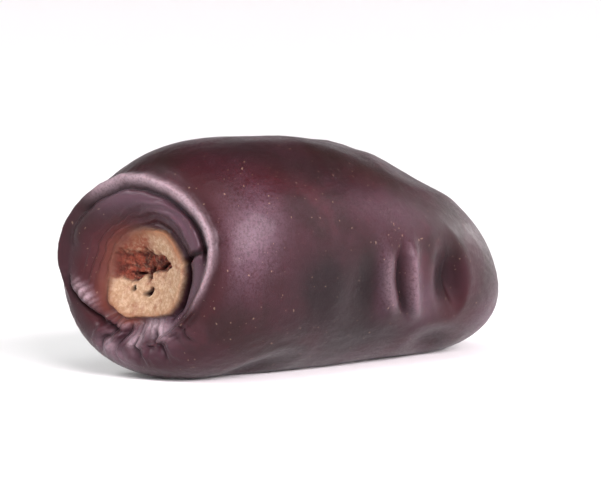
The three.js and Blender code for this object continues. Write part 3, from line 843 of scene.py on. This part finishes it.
pores = skin.math("ADD", skin.times(grain, GRAIN_BUMP), skin.noise(PORE_SIZE, 2.0, 0.6))
height = skin.math("ADD", pores, skin.times(skin.times(cork_grain, scar_mask), CORK_BUMP))
bump = skin.add("ShaderNodeBump", {"Height": height, "Strength": BUMP_STRENGTH, "Distance": BUMP_HEIGHT})
skin.plug(skin.shader.inputs["Normal"], bump.outputs[0])

uncoated = skin.math("MAXIMUM", skin.math("MAXIMUM", scar_mask, sunken_mask), skin.mask("fold"))
skin.plug(skin.shader.inputs["Coat Weight"], skin.ramp(uncoated, 0.0, COAT_FADE, COAT, 0.0))
for name, value in SHADER_VALUES.items():
    skin.shader.inputs[name].default_value = value

fruit_mesh.materials.append(skin.material)
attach(fruit, "root")
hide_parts("date")
print("skin nodes:", len(skin.tree.nodes))

# %% [markdown]
# ## The floor
# The fruit lies on a pale floor that soon curves up all round, as a studio sweep does, so that no edge shows
# from any side. It is one profile spun round the Z axis. The sweep stops well short of upright: the top of a
# glossy fruit reflects what stands behind it, and a tall bright wall would turn the dark skin milky.

# %% Floor
FLOOR_RADIUS, CURVE_RADIUS, CURVE_END = 0.12, 0.8, 56
CURVE_STEPS, SWEEP_SEGMENTS = 24, 96
PAPER_COLOUR, PAPER_ROUGHNESS = (0.86, 0.86, 0.86, 1), 0.9

sweep_points = [(0, 0, 0)]
for turn in np.linspace(0, math.radians(CURVE_END), CURVE_STEPS):
    sweep_points.append((FLOOR_RADIUS + CURVE_RADIUS * math.sin(turn), 0, CURVE_RADIUS * (1 - math.cos(turn))))
floor_mesh = turned_mesh("studio_floor", sweep_points, (0, 0, 1), SWEEP_SEGMENTS)
floor_mesh.shade_smooth()
floor = bpy.data.objects.new("studio_floor", floor_mesh)
bpy.context.scene.collection.objects.link(floor)
paper = bpy.data.materials.new("pale_paper")
paper.use_nodes = True
paper.node_tree.nodes["Principled BSDF"].inputs["Base Color"].default_value = PAPER_COLOUR
paper.node_tree.nodes["Principled BSDF"].inputs["Roughness"].default_value = PAPER_ROUGHNESS
floor_mesh.materials.append(paper)
print("floor:", len(floor_mesh.polygons), "faces")

# %% [markdown]
# ## The light
# The key is a large soft lamp low in front, and its reflection, together with a painted highlight laid on the
# skin, is the broad highlight on the shoulder. A side lamp lays a dim sheen along the body, a small one above
# the stem end picks out the collar and the puckers, which carry painted highlights as well, one from high in
# front lifts the shade, and one level with the tip draws its rim. The pale world fills the rest.

# %% World and lamps
WORLD_STRENGTH = 0.16
LAMPS = (  # name, azimuth, elevation, distance, size, power, tint
    ("key_lamp", -11, 12, 0.5, 0.46, 13, (1, 0.9, 0.95)),
    ("side_lamp", 60, 24, 0.6, 0.4, 0.75, (1, 1, 1)),
    ("stem_lamp", -120, 40, 0.5, 0.22, 1.8, (1, 1, 1)),
    ("front_lamp", -45, 56, 0.6, 0.3, 1.0, (1, 1, 1)),
    ("end_lamp", 95, 5, 0.5, 0.16, 1.1, (1, 1, 1)),
)


def direction(azimuth, elevation):
    """A unit vector from the fruit. Azimuth 0 is the front, -Y, and 90 is +X."""
    turn, lift = math.radians(azimuth), math.radians(elevation)
    return Vector((math.sin(turn) * math.cos(lift), -math.cos(turn) * math.cos(lift), math.sin(lift)))


world = bpy.data.worlds.new("pale_world")
world.use_nodes = True
world.node_tree.nodes["Background"].inputs["Color"].default_value = (1, 1, 1, 1)
world.node_tree.nodes["Background"].inputs["Strength"].default_value = WORLD_STRENGTH
bpy.context.scene.world = world
for name, azimuth, elevation, distance, size, power, tint in LAMPS:
    lamp = bpy.data.lights.new(name, "AREA")
    lamp.color = tint
    lamp.size = size
    lamp.energy = power
    holder = bpy.data.objects.new(name, lamp)
    holder.location = direction(azimuth, elevation) * distance
    holder.rotation_euler = (-direction(azimuth, elevation)).to_track_quat("-Z", "Y").to_euler()
    holder.visible_camera = False
    bpy.context.scene.collection.objects.link(holder)
bpy.context.scene.view_settings.view_transform = "Standard"

# %% [markdown]
# ## Camera
# The photograph looks at the stem end and the front side alike, from just above the table. A long lens from
# a quarter of a metre away keeps the fruit's proportions.

# %% Camera
CAMERA_AZIMUTH, CAMERA_ELEVATION, CAMERA_DISTANCE = -45, 4.5, 0.25
LENS, CLIP_START = 172, 0.01
LOOK_AT = Vector((-0.2, 0, 9.8)) * MM

camera = bpy.data.cameras.new("photo_camera")
camera.lens = LENS
camera.clip_start = CLIP_START
camera_holder = bpy.data.objects.new("photo_camera", camera)
back = direction(CAMERA_AZIMUTH, CAMERA_ELEVATION)
camera_holder.location = LOOK_AT + back * CAMERA_DISTANCE
camera_holder.rotation_euler = (-back).to_track_quat("-Z", "Y").to_euler()
bpy.context.scene.collection.objects.link(camera_holder)
bpy.context.scene.camera = camera_holder
print("camera at, mm:", [round(value / MM) for value in camera_holder.location])
